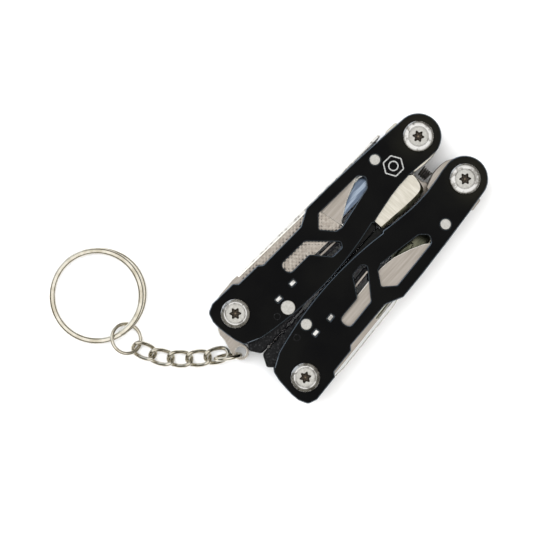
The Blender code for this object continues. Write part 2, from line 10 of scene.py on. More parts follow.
import bmesh
import bpy
from mathutils import Matrix, Vector
from mathutils.geometry import tessellate_polygon


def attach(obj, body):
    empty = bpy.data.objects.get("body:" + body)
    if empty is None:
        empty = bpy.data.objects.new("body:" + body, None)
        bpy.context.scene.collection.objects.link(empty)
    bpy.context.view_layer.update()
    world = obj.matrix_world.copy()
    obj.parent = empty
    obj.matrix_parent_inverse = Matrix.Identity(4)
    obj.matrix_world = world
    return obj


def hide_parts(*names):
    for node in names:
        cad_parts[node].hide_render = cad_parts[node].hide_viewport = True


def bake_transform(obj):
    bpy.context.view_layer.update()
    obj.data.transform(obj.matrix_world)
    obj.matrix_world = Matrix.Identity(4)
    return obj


MM = 0.001
MIDDLE = (46.57, -18.0)
HALF_GAP = 8.13
HANDLE_LENGTH = 65.6
TILT = math.radians(3.56)
SIDES = {"a": 1, "b": -1}

BACK_LOW, CAVITY_LOW, CAVITY_HIGH, FRONT_HIGH, STACK_HIGH = 0.9, 2.4, 10.4, 11.9, 12.8
JAW_LOW, JAW_SPLIT, JAW_HIGH = 2.6, 6.4, 10.2
SPACER_AT = (53.4, 3.45)
LOCK_PIN_AT = (10.8, -8.35)
TABS = ((10.6, -5.1), (16.05, -4.6))
HEAD_RADIUS = {"tool": 3.8, "plier": 4.0}
PIVOT_HOLE = 2.55
JAW_RIVET_AT = (-15.9, 0)
JAW_SPRING_AT = (-5.7, JAW_SPLIT + 1.2)
LINKS = (
    # centre x, centre y, direction in degrees
    (-77.1, 8.37, 146.6),
    (-80.82, 11.42, 138),
    (-84.2, 14.9, 131),
    (-87.12, 18.77, 121),
    (-88.97, 23.23, 110.1),
)
LINK_HEIGHT = 1.5
WIRE = 1.06
KEY_RING_WIRE = 1.0

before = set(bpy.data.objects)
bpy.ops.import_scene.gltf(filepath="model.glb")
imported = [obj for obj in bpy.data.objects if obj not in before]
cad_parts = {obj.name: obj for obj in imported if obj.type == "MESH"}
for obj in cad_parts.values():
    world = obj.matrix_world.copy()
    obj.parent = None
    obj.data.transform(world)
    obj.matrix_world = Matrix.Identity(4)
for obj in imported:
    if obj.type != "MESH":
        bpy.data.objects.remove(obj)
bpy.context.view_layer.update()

MID_FRAME = Matrix.Translation((*MIDDLE, 0))
HANDLE_FRAMES = {
    key: MID_FRAME
    @ Matrix.Translation((0, side * HALF_GAP, 0))
    @ Matrix.Rotation(-side * TILT, 4, "Z")
    @ Matrix.Translation((-HANDLE_LENGTH, 0, 0))
    for key, side in SIDES.items()
}


# --- materials --------------------------------------------------------------------------------------


class Look:
    """A Principled material whose inputs are fed by small procedural networks in object coordinates."""

    def __init__(self, name, colour, metallic, roughness, specular=0.5):
        self.material = bpy.data.materials.new(name)
        self.material.use_nodes = True
        self.tree = self.material.node_tree
        self.shader = self.tree.nodes["Principled BSDF"]
        self.shader.inputs["Base Color"].default_value = (*colour, 1)
        self.shader.inputs["Metallic"].default_value = metallic
        self.shader.inputs["Roughness"].default_value = roughness
        self.shader.inputs["Specular IOR Level"].default_value = specular
        self.colour = colour
        self.roughness = roughness
        self.place = self.node("ShaderNodeTexCoord").outputs["Object"]

    def node(self, kind, **settings):
        made = self.tree.nodes.new(kind)
        for key, value in settings.items():
            setattr(made, key, value)
        return made

    def link(self, source, target):
        self.tree.links.new(source, target)

    def math(self, operation, first, second=None):
        made = self.node("ShaderNodeMath", operation=operation)
        for socket, value in zip(made.inputs, (first, second)):
            if isinstance(value, (int, float)):
                socket.default_value = value
            elif value is not None:
                self.link(value, socket)
        return made.outputs[0]

    def spread(self, value, low, high, to_low=0.0, to_high=1.0):
        """The value from low..high mapped to to_low..to_high."""
        made = self.node("ShaderNodeMapRange")
        for name, number in zip(("From Min", "From Max", "To Min", "To Max"), (low, high, to_low, to_high)):
            made.inputs[name].default_value = number
        self.link(value, made.inputs["Value"])
        return made.outputs[0]

    def noise(self, size, detail=3.0, turn=0.0):
        """Noise whose features are size millimetres across, as one number or along X, Y and Z."""
        sizes = (size,) * 3 if isinstance(size, (int, float)) else size
        mapping = self.node("ShaderNodeMapping")
        mapping.inputs["Rotation"].default_value = (0, 0, turn)
        mapping.inputs["Scale"].default_value = [1 / (one * MM) for one in sizes]
        self.link(self.place, mapping.inputs["Vector"])
        made = self.node("ShaderNodeTexNoise")
        made.inputs["Scale"].default_value = 1.0
        made.inputs["Detail"].default_value = detail
        self.link(mapping.outputs[0], made.inputs["Vector"])
        return made.outputs["Fac"]

    def mottle(self, size, other, low=0.4, high=0.65, turn=0.0):
        """Patches of another colour."""
        self.blend_colour(self.spread(self.noise(size, turn=turn), low, high), other)
        return self

    def blend_colour(self, share, other):
        mix = self.node("ShaderNodeMix", data_type="RGBA")
        target = self.shader.inputs["Base Color"]
        if target.links:
            self.link(target.links[0].from_socket, mix.inputs["A"])
        else:
            mix.inputs["A"].default_value = (*self.colour, 1)
        mix.inputs["B"].default_value = (*other, 1)
        self.link(share, mix.inputs["Factor"])
        self.link(mix.outputs["Result"], target)

    def scuffs(self, size, change, turn=0.0):
        """Roughness that varies by change either way."""
        least, most = self.roughness - change, self.roughness + change
        rough = self.spread(self.noise(size, turn=turn), 0.3, 0.7, least, most)
        self.link(rough, self.shader.inputs["Roughness"])
        return self

    def bump(self, height, distance, strength=1.0):
        made = self.node("ShaderNodeBump")
        made.inputs["Strength"].default_value = strength
        made.inputs["Distance"].default_value = distance * MM
        self.link(height, made.inputs["Height"])
        target = self.shader.inputs["Normal"]
        if target.links:
            self.link(target.links[0].from_socket, made.inputs["Normal"])
        self.link(made.outputs["Normal"], target)
        return self

    def grain(self, size, distance, strength=0.5, turn=0.0):
        return self.bump(self.noise(size, turn=turn), distance, strength)

    def near(self, centre, inner, outer):
        """1 within the inner radius of a point of the CAD frame, falling to 0 at the outer one."""
        gap = self.node("ShaderNodeVectorMath", operation="DISTANCE")
        self.link(self.place, gap.inputs[0])
        gap.inputs[1].default_value = Vector(centre) * MM
        return self.spread(gap.outputs["Value"], outer * MM, inner * MM)


def make_looks():
    looks = {}
    plate = Look("black_plate", (0.0017, 0.0017, 0.0019), 0.0, 0.34, 0.03)
    # painted sheen: within 4 to 8.5 mm of each plier pivot the black plate colour turns olive-grey, standing
    # in for a sheen of light there
    for key in SIDES:
        pivot = MID_FRAME @ Vector((0, SIDES[key] * HALF_GAP, FRONT_HIGH))
        plate.blend_colour(plate.near(pivot, 4.0, 8.5), (0.009, 0.0085, 0.006))
    plate.mottle(14, (0.0032, 0.0032, 0.003)).scuffs(1.2, 0.05).grain(0.09, 0.02, 0.25)
    looks["plate"] = plate
    # painted highlight: the plate bevels are a lighter, blue-tinted metal instead of black, so every edge
    # shows as a blue-grey highlight line
    edge = Look("plate_edge_painted_highlight", (0.11, 0.13, 0.15), 0.8, 0.24, 0.3)
    looks["edge"] = edge.scuffs(0.6, 0.08).grain(0.12, 0.02, 0.2)
    lever = Look("black_lever", (0.0035, 0.0035, 0.004), 0.0, 0.4, 0.12)
    lever.mottle(0.45, (0.03, 0.03, 0.031), 0.56, 0.68)
    looks["lever"] = lever.grain(0.35, 0.22, 0.8).grain(0.1, 0.05, 0.5)
    bright = Look("bright_steel", (0.60, 0.59, 0.57), 1.0, 0.22)
    bright.mottle((1.6, 1.6, 2), (0.30, 0.29, 0.27), 0.5, 0.6)
    looks["bright"] = bright.scuffs(0.5, 0.06).grain(0.08, 0.006, 0.25)
    disc = Look("screw_disc", (0.40, 0.39, 0.36), 1.0, 0.32)
    looks["disc"] = disc.mottle(0.6, (0.48, 0.47, 0.44)).scuffs(0.4, 0.08).grain(0.1, 0.012, 0.4)
    socket = Look("screw_socket", (0.22, 0.17, 0.12), 1.0, 0.34)
    looks["socket"] = socket.mottle(0.5, (0.10, 0.075, 0.05)).grain(0.15, 0.03, 0.5)
    # painted shade: the walls and sloping floor of the six-lobed socket are near black, standing in for the
    # shade inside the recess
    recess_shade = Look("socket_wall_shade", (0.022, 0.017, 0.012), 0.5, 0.4, 0.2)
    looks["recess_shade"] = recess_shade.mottle(0.3, (0.05, 0.04, 0.03)).grain(0.15, 0.02, 0.4)
    tan = Look("brushed_steel", (0.30, 0.27, 0.235), 1.0, 0.34)
    tan.mottle((9, 0.4, 4), (0.36, 0.325, 0.29))
    looks["tan"] = tan.scuffs((6, 0.2, 2), 0.07).grain((5, 0.06, 1), 0.008, 0.35)
    knurl = Look("file_teeth", (0.34, 0.30, 0.26), 1.0, 0.34)
    looks["knurl"] = knurl.mottle(0.7, (0.45, 0.41, 0.36)).scuffs(0.5, 0.06).grain(0.12, 0.02, 0.4)
    cut = Look("cut_edge", (0.86, 0.84, 0.77), 1.0, 0.26)
    looks["cut"] = cut.scuffs(0.5, 0.06).grain((0.1, 1.0, 0.2), 0.01, 0.3)
    # painted reflection: the steel is tinted blue with lighter blue patches, standing in for a reflected blue
    # sky
    blue = Look("steel_painted_blue_reflection", (0.10, 0.13, 0.18), 1.0, 0.2)
    looks["blue"] = blue.mottle((7, 0.6, 3), (0.26, 0.31, 0.38), 0.5, 0.62).grain((4, 0.08, 1), 0.008, 0.3)
    olive = Look("dark_steel", (0.13, 0.13, 0.09), 1.0, 0.22)
    looks["olive"] = olive.mottle((6, 1.2, 3), (0.04, 0.045, 0.03)).grain((4, 0.08, 1), 0.01, 0.35)
    jaw = Look("jaw_steel", (0.50, 0.47, 0.40), 1.0, 0.34)
    jaw.mottle((0.35, 5, 3), (0.60, 0.57, 0.50))
    looks["jaw"] = jaw.scuffs((0.2, 4, 2), 0.08).grain((0.07, 5, 1), 0.014, 0.5)
    # painted shade: the sloped bevel band of the top jaw is a darker olive copy of the jaw steel, for the
    # slope catching less light
    bevel = Look("jaw_bevel_painted_shade", (0.30, 0.28, 0.19), 1.0, 0.3)
    looks["bevel"] = bevel.mottle((0.4, 2, 2), (0.22, 0.21, 0.14)).grain((0.08, 2, 1), 0.012, 0.4)
    # painted shade: the nose steel is near black, standing in for the deep shade it sits in between the
    # plates
    nose = Look("jaw_nose_painted_shade", (0.006, 0.006, 0.006), 0.0, 0.35, 0.06)
    looks["nose"] = nose.mottle(0.8, (0.010, 0.010, 0.009)).grain(0.2, 0.03, 0.5)
    spring = Look("spring_steel", (0.035, 0.032, 0.03), 0.8, 0.3, 0.2)
    looks["spring"] = spring.mottle(0.4, (0.07, 0.065, 0.06)).grain(0.1, 0.01, 0.4)
    nickel = Look("nickel", (0.62, 0.585, 0.50), 1.0, 0.1)
    looks["nickel"] = nickel.mottle(2.2, (0.48, 0.44, 0.35)).scuffs(0.8, 0.04).grain(0.3, 0.01, 0.3)
    etched = Look("etched_mark", (0.36, 0.36, 0.35), 0.0, 0.6)
    looks["etched"] = etched.mottle(0.4, (0.24, 0.24, 0.235)).grain(0.1, 0.01, 0.5)
    floor = Look("white_floor", (0.92, 0.92, 0.925), 0.0, 0.9, 0.1)
    looks["floor"] = floor.mottle(60, (0.91, 0.91, 0.915)).grain(1.0, 0.02, 0.2)
    return {name: look.material for name, look in looks.items()}


# --- outlines ---------------------------------------------------------------------------------------


def arc(centre, radius, start, end, count):
    """Points on a circle from the start angle to the end angle, in degrees, ends included."""
    turns = [math.radians(start + (end - start) * step / count) for step in range(count + 1)]
    return [(centre[0] + radius * math.cos(t), centre[1] + radius * math.sin(t)) for t in turns]


def circle(centre, radius, count=48):
    return arc(centre, radius, 0, 360, count)[:-1]


def rounded(corners, steps=6):
    """A closed outline through (x, y, radius) corners, each one rounded to its radius."""
    outline = []
    for index, (x, y, radius) in enumerate(corners):
        here = Vector((x, y))
        before = Vector(corners[index - 1][:2]) - here
        after = Vector(corners[(index + 1) % len(corners)][:2]) - here
        half = before.angle(after) / 2
        if radius == 0 or half > math.radians(88):
            outline.append((x, y))
            continue
        reach = min(radius / math.tan(half), before.length * 0.45, after.length * 0.45)
        enter = here + before.normalized() * reach
        leave = here + after.normalized() * reach
        for step in range(steps + 1):
            t = step / steps
            point = enter * (1 - t) ** 2 + here * 2 * t * (1 - t) + leave * t**2
            outline.append((point.x, point.y))
    return outline


def mirrored(outline, side):
    return [(x, y * side) for x, y in outline]


def shifted(outline, dx, dy):
    return [(x + dx, y + dy) for x, y in outline]


def signed_area(loop):
    return sum(x0 * y1 - x1 * y0 for (x0, y0), (x1, y1) in zip(loop, loop[1:] + loop[:1])) / 2


def inset(loop, distance):
    """The loop moved to its left by a distance, with mitred corners."""
    moved = []
    for index, here in enumerate(loop):
        here = Vector(here)
        enter = (here - Vector(loop[index - 1])).normalized().orthogonal()
        leave = (Vector(loop[(index + 1) % len(loop)]) - here).normalized().orthogonal()
        corner = enter + leave
        moved.append(here + corner * (distance / max(1 + enter.dot(leave), 0.5)))
    return [(x, y) for x, y in moved]


# --- solids -----------------------------------------------------------------------------------------


class Solid:
    """A mesh being collected from several closed shells, in millimetres, before it becomes one piece."""

    def __init__(self):
        self.points = []
        self.faces = []
        self.slots = []
        self.smooth = []

    def add(self, points, faces, slot=0, smooth=True):
        first = len(self.points)
        self.points += [Vector(point) for point in points]
        self.faces += [tuple(first + i for i in face) for face in faces]
        self.slots += [slot] * len(faces)
        self.smooth += [smooth] * len(faces)

    def slab(self, loops, low, high, radius=0.2, steps=3, cap=0, edge=0):
        """A flat piece: an outer outline and its holes, with rounded edges."""
        outer = loops[0] if signed_area(loops[0]) > 0 else loops[0][::-1]
        walls = [outer] + [loop if signed_area(loop) < 0 else loop[::-1] for loop in loops[1:]]
        curve = [math.pi / 2 * step / steps for step in range(steps + 1)]
        below = [(radius * (1 - math.sin(t)), low + radius * (1 - math.cos(t))) for t in curve]
        above = [(radius * (1 - math.cos(t)), high - radius * (1 - math.sin(t))) for t in curve]
        points, sides, bottom, top, rims = [], [], [], [], []
        for wall in walls:
            count, first = len(wall), len(points)
            levels = below + above
            for distance, z in levels:
                points += [(x, y, z) for x, y in inset(wall, distance)]
            for ring in range(len(levels) - 1):
                here = first + ring * count
                for i in range(count):
                    j = (i + 1) % count
                    sides.append((here + i, here + j, here + count + j, here + count + i))
            bottom += range(first, first + count)
            top += range(len(points) - count, len(points))
            rims.append([Vector((x, y, 0)) for x, y in inset(wall, radius)])
        triangles = tessellate_polygon(rims)
        if self.turns_down(rims, triangles):
            triangles = [triangle[::-1] for triangle in triangles]
        caps = [tuple(top[i] for i in triangle) for triangle in triangles]
        caps += [tuple(bottom[i] for i in triangle[::-1]) for triangle in triangles]
        first = len(self.points)
        self.add(points, sides, edge)
        self.faces += [tuple(first + i for i in face) for face in caps]
        self.slots += [cap] * len(caps)
        self.smooth += [False] * len(caps)

    @staticmethod
    def turns_down(rims, triangles):
        flat = [point for rim in rims for point in rim]
        a, b, c = (flat[i] for i in triangles[0])
        return (b - a).cross(c - a).z < 0

    def rings(self, rings, slots, closed_ends=True):
        """Rings of points joined in order, each slot number being the band's up to the next ring."""
        count = len(rings[0])
        for here, there, slot in zip(rings, rings[1:], slots):
            faces = [(i, (i + 1) % count, count + (i + 1) % count, count + i) for i in range(count)]
            self.add(here + there, faces, slot)
        if closed_ends:
            self.add(rings[0], [tuple(range(count))[::-1]], slots[0], False)
            self.add(rings[-1], [tuple(range(count))], slots[-1], False)

    def tube(self, route, radius, sides=14, slot=0, closed=True):
        """A round wire along a route."""
        route = [Vector(point) for point in route]
        count = len(route)
        ahead = [route[(i + 1) % count] - route[i - 1] for i in range(count)]
        if not closed:
            ahead[0], ahead[-1] = route[1] - route[0], route[-1] - route[-2]
        normal = ahead[0].orthogonal().normalized()
        normals = []
        for direction in ahead:
            normal = (normal - direction * normal.dot(direction) / direction.length_squared).normalized()
            normals.append(normal)
        direction = ahead[0].normalized()
        back = (normal - direction * normal.dot(direction)).normalized()
        twist = math.atan2(direction.dot(back.cross(normals[0])), back.dot(normals[0])) if closed else 0
        rings = []
        for index, (centre, direction, normal) in enumerate(zip(route, ahead, normals)):
            turned = Matrix.Rotation(twist * index / count, 3, direction) @ normal
            across = direction.normalized().cross(turned)
            ring = []
            for side in range(sides):
                angle = 2 * math.pi * side / sides
                ring.append(centre + (turned * math.cos(angle) + across * math.sin(angle)) * radius)
            rings.append(ring)
        if closed:
            rings.append(rings[0])
        self.rings(rings, [slot] * len(rings), not closed)

    def piece(self, name, looks, body, replaces=(), place=MID_FRAME):
        """The finished mesh in the CAD frame, riding on its CAD body unless that is None."""
        mesh = bpy.data.meshes.new(name)
        mesh.from_pydata([(place @ point) * MM for point in self.points], [], self.faces)
        for look in looks:
            mesh.materials.append(look)
        mesh.polygons.foreach_set("material_index", self.slots)
        mesh.polygons.foreach_set("use_smooth", self.smooth)
        thing = bpy.data.objects.new(name, mesh)
        bpy.context.scene.collection.objects.link(thing)
        shell = bmesh.new()
        shell.from_mesh(mesh)
        bmesh.ops.remove_doubles(shell, verts=shell.verts, dist=0.0005 * MM)
        bmesh.ops.recalc_face_normals(shell, faces=shell.faces)
        shell.to_mesh(mesh)
        shell.free()
        mesh.set_sharp_from_angle(angle=math.radians(40))
        if body:
            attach(thing, body)
        if replaces:
            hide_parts(*replaces)
        return thing


# --- handles ----------------------------------------------------------------------------------------


def plate_outline():
    """One handle plate, from its outer corner at the tool end round to the plier end and back."""
    outer = [(-5.7, 2.4, 0), (-4.9, 4.9, 1.5), (-2.6, 5.95, 1), (4.8, 5.95, 0.4), (5.8, 4.92, 0.4)]
    outer += [(12.7, 4.9, 0.5), (13.8, 4.0, 0.5), (27.6, 4.35, 2.0), (32.0, 6.75, 1.2)]
    outer += [(40.0, 6.85, 0), (50.0, 6.65, 0), (59.0, 6.35, 0)]
    end = arc((HANDLE_LENGTH, 0), 6.0, 84, -84, 40)
    inner = [(63.5, -5.95, 0), (61.0, -5.7, 0), (57.0, -5.5, 3), (53.0, -5.75, 3), (50.0, -6.2, 3)]
    inner += [(47.0, -6.85, 3), (44.0, -7.5, 3), (42.0, -8.05, 0)]
    belly = arc((17.5, 86.3), 97.0, -75.7, -100.0, 30)
    tail = [(-2.9, -8.4, 0.8), (-4.1, -7.1, 0.8), (-4.9, -4.8, 0), (-5.4, -2.0, 0), (-5.7, 0.2, 0)]
    return rounded(outer) + end + rounded(inner, 3) + belly + rounded(tail)


def long_window():
    corners = [(30.5, 0.6, 0.6), (33.3, 3.6, 1.0), (47.4, 3.6, 1.4), (48.7, 1.9, 1.2)]
    corners += [(46.9, -0.3, 1.4), (41.0, -1.7, 3), (35.2, -3.1, 0.6), (33.3, -2.7, 0.8)]
    return rounded(corners)


def bent_window():
    corners = [(17.0, 0.9, 1.6), (25.8, 0.9, 1.2), (32.4, -5.6, 1.4), (31.6, -6.9, 0.9)]
    corners += [(28.2, -6.9, 0.9), (24.3, -2.3, 1.2), (17.0, -2.4, 1.6)]
    return rounded(corners)


def box_outline(centre, half_x, half_y):
    signs = ((-1, -1), (1, -1), (1, 1), (-1, 1))
    corners = [(half_x * x, half_y * y, 0.12) for x, y in signs]
    return shifted(rounded(corners, 2), *centre)


def handle_plates(key, looks):
    side, place = SIDES[key], HANDLE_FRAMES[key]
    pin_radius = {"a": 1.66, "b": 1.44}[key]
    loops = [plate_outline(), long_window(), bent_window()]
    loops += [circle((x, 0), PIVOT_HOLE) for x in (0, HANDLE_LENGTH)]
    loops += [circle(SPACER_AT, 1.4), circle(LOCK_PIN_AT, pin_radius)]
    loops += [box_outline(centre, 0.85, 0.55) for centre in TABS]
    loops = [mirrored(loop, side) for loop in loops]
    for name, low, high in (("back", BACK_LOW, CAVITY_LOW), ("front", CAVITY_HIGH, FRONT_HIGH)):
        solid = Solid()
        solid.slab(loops, low, high, 0.22, 1, 0, 1)
        node = f"{name}_plate_{key}"
        # the edge slot carries the blue-grey painted highlight on the bevels
        shades = [looks["plate"], looks["edge"]]
        solid.piece(f"{node}_shell", shades, f"handle_{key}", [node], place)


def lobes(angle, outer, inner):
    """The radius of a six-lobed socket at an angle."""
    return inner + (outer - inner) * (0.5 + 0.5 * math.cos(6 * angle)) ** 1.25


def polar_ring(radius, z, count=96, turn=0.0):
    """A ring at one height, of one radius or of one that is a function of the angle."""
    ring = []
    for step in range(count):
        angle = 2 * math.pi * step / count
        r = radius(angle) if callable(radius) else radius
        ring.append((r * math.cos(angle + turn), r * math.sin(angle + turn), z))
    return ring


def screw_head(name, key, at, turn, radius, looks):
    """A low domed head with a groove round a flat disc, and a six-lobed socket in the disc."""
    top, low = STACK_HIGH, FRONT_HIGH
    rim = [(-0.1, 0.05), (0, 0.14), (0, 0.3), (-0.03, 0.42), (-0.1, 0.52), (-0.22, 0.6), (-0.7, 0.77)]
    dome = [(1.6, 5.6), (1.6, low + 0.05)] + [(radius + r, low + z) for r, z in rim] + [(2.95, low + 0.86)]
    dome += [(2.8, top), (2.68, top - 0.02), (2.62, top - 0.12), (2.58, top - 0.2), (2.5, top - 0.2)]
    dome += [(2.46, top - 0.14), (2.38, top - 0.1), (1.75, top - 0.1)]
    rings = [polar_ring(r, z, turn=turn) for r, z in dome]
    slots = [0] * 14 + [1] * 4
    for grow, z, slot in ((0.07, top - 0.1, 1), (0.0, top - 0.17, 3), (-0.38, top - 0.7, 3)):
        rings.append(polar_ring(lambda a, g=grow: lobes(a, 1.5, 0.98) + g, z, turn=turn))
        slots.append(slot)
    rings.append(polar_ring(0.2, top - 0.82, turn=turn))
    slots.append(2)
    solid = Solid()
    solid.rings(rings, slots)
    place = HANDLE_FRAMES[key] @ Matrix.Translation((*at, 0))
    # slot 3, the socket walls and floor, carries the near-black painted shade
    shades = [looks[shade] for shade in ("bright", "disc", "socket", "recess_shade")]
    solid.piece(f"{name}_head", shades, f"handle_{key}", [name], place)


def post(name, key, at, radius, looks):
    """The back half of a pivot, with a low flat head under the back plate."""
    profile = [(0.3, 0.0), (radius - 0.6, 0.0), (radius - 0.3, 0.05), (radius - 0.06, 0.2), (radius, 0.4)]
    profile += [(radius, 0.85)]
    profile += [(2.4, 0.85), (2.4, 11.8), (1.75, 11.8), (1.75, 5.3), (0.3, 5.3)]
    solid = Solid()
    solid.rings([polar_ring(r, z, 48) for r, z in profile], [0] * len(profile))
    place = HANDLE_FRAMES[key] @ Matrix.Translation((*at, 0))
    solid.piece(f"{name}_turned", [looks["disc"]], f"handle_{key}", [name], place)


def rivet(name, key, at, radius, shank, body, looks):
    """A pin with a slightly domed head at each face."""
    low, high = BACK_LOW - 0.12, FRONT_HIGH + 0.15
    profile = [(0.2, low), (radius - 0.15, low), (radius, low + 0.08), (shank, low + 0.15)]
    profile += [(shank, high - 0.16)]
    profile += [(radius, high - 0.12), (radius - 0.06, high - 0.04), (radius - 0.2, high), (0.2, high + 0.02)]
    solid = Solid()
    solid.rings([polar_ring(r, z, 48) for r, z in profile], [0] * len(profile))
    place = HANDLE_FRAMES[key] @ Matrix.Translation((*at, 0))
    solid.piece(f"{name}_pin", [looks["disc"]], body, [name], place)


def lock_lever(key, looks):
    """The black release lever, with a ribbed thumb pad that stands out past the plates."""
    pad = [(-4.3, -9.3, 0.8), (-2.5, -12.0, 0.8)]
    ribs = []
    for index in range(4):
        start = -1.9 + 2.6 * index
        depth = -12.2 + 0.065 * (start + 1.9)
        ribs += [(start, depth, 0.3), (start + 1.5, depth + 0.08, 0.4), (start + 2.1, depth + 0.5, 0.4)]
    lever = [(9.6, -11.35, 0.5), (14.0, -11.0, 1.5), (14.6, -7.4, 1.5), (12.0, -6.2, 1.5), (8.6, -6.3, 1.0)]
    lever += [(2.5, -7.2, 1.0), (-3.2, -7.9, 0.8)]
    outline = mirrored(rounded(pad + ribs + lever, 4), SIDES[key])
    solid = Solid()
    solid.slab([outline], 4.0, JAW_HIGH, 0.45, 4)
    node = f"lock_lever_{key}"
    solid.piece(f"{node}_pad", [looks["lever"]], node, [node], HANDLE_FRAMES[key])


def lock_spring(key, looks):
    """The leaf spring bar, staked through both plates by two small tabs."""
    side = SIDES[key]
    bar = [(9.3, -5.6, 0.3), (31.6, -5.7, 0.3), (31.8, -4.2, 0.3), (9.3, -4.3, 0.3)]
    solid = Solid()
    solid.slab([mirrored(rounded(bar), side)], JAW_LOW, JAW_HIGH - 0.2, 0.15, 2)
    strip = [(9.5, -4.95, 0.1), (31.4, -4.85, 0.1), (31.6, -4.25, 0.1), (9.5, -4.35, 0.1)]
    solid.slab([mirrored(rounded(strip), side)], JAW_HIGH - 0.6, JAW_HIGH, 0.15, 2, 2, 2)
    for centre in TABS:
        outline = mirrored(box_outline(centre, 0.75, 0.45), side)
        solid.slab([outline], BACK_LOW + 0.1, FRONT_HIGH - 0.03, 0.06, 2, 1, 1)
    node = f"lock_spring_{key}"
    shades = [looks["lever"], looks["bright"], looks["tan"]]
    solid.piece(f"{node}_bar", shades, f"handle_{key}", [node], HANDLE_FRAMES[key])


# --- folding tools ----------------------------------------------------------------------------------


def flat_tool(name, key, corners, low, high, shades, radius=0.15, extra=None, holes=()):
    side = SIDES[key]
    eye = arc((0, 0), 5.2, 200, 110, 24)
    loops = [eye + rounded(corners), circle((0, 0), PIVOT_HOLE), *holes]
    solid = Solid()
    solid.slab([mirrored(loop, side) for loop in loops], low, high, radius, 3, 0, 1)
    if extra:
        extra(solid)
    solid.piece(f"{name}_steel", shades, name, [name], HANDLE_FRAMES[key])


def file_teeth(solid):
    """The crossed file teeth: a relief of small pyramids that ends at a slanted line."""
    pitch, height, top = 0.85, 0.17, 10.1
    start, reach, low_edge, high_edge = 7.5, 35.4, -3.2, 5.9
    columns, rows = 212, 70
    rings = []
    for column in range(columns + 1):
        ring = []
        for row in range(rows + 1):
            w = low_edge + (high_edge - low_edge) * row / rows
            end = reach - 0.2 * (w - low_edge)
            u = start + (end - start) * column / columns
            first = abs((u + w) / math.sqrt(2) / pitch % 1 - 0.5) * 2
            second = abs((u - w) / math.sqrt(2) / pitch % 1 - 0.5) * 2
            ring.append((u, w, top + height * min(first, second)))
        rings.append(ring)
    points = [point for ring in rings for point in ring]
    width = rows + 1
    faces = []
    for column in range(columns):
        for row in range(rows):
            here = column * width + row
            faces.append((here, here + width, here + width + 1, here + 1))
    base = len(points)
    edge = list(range(width)) + [column * width + rows for column in range(1, columns + 1)]
    edge += [columns * width + row for row in range(rows - 1, -1, -1)]
    edge += [column * width for column in range(columns - 1, 0, -1)]
    points += [(points[i][0], points[i][1], top - 0.2) for i in edge]
    for i, here in enumerate(edge):
        j = (i + 1) % len(edge)
        faces.append((here, edge[j], base + j, base + i))
    faces.append(tuple(base + i for i in range(len(edge))))
    solid.add(points, faces, 2, False)


def file_tip(solid):
    """The smooth ground end of the file, past the teeth."""
    corners = [(33.6, 5.9, 0.1), (46.4, 5.8, 1.5), (48.1, 4.6, 0.8), (45.8, 3.05, 1.5), (41.0, 1.1, 1.5)]
    corners += [(36.4, -1.8, 1.5), (35.6, -3.0, 0.1)]
    solid.slab([rounded(corners)], 9.5, 10.3, 0.12, 3, 0, 1)
    back = [(7.0, 6.0, 0.1), (33.2, 5.97, 0.1), (33.2, 6.25, 0.1), (11.5, 6.35, 1.0), (7.0, 6.6, 0.1)]
    solid.slab([rounded(back)], 9.9, 10.3, 0.1, 3, 1, 1)
    step = [(34.1, 5.1, 0.05), (34.4, 5.1, 0.05), (36.0, -3.0, 0.05), (35.7, -3.0, 0.05)]
    solid.slab([rounded(step)], 9.9, 10.26, 0.05, 2, 1, 1)


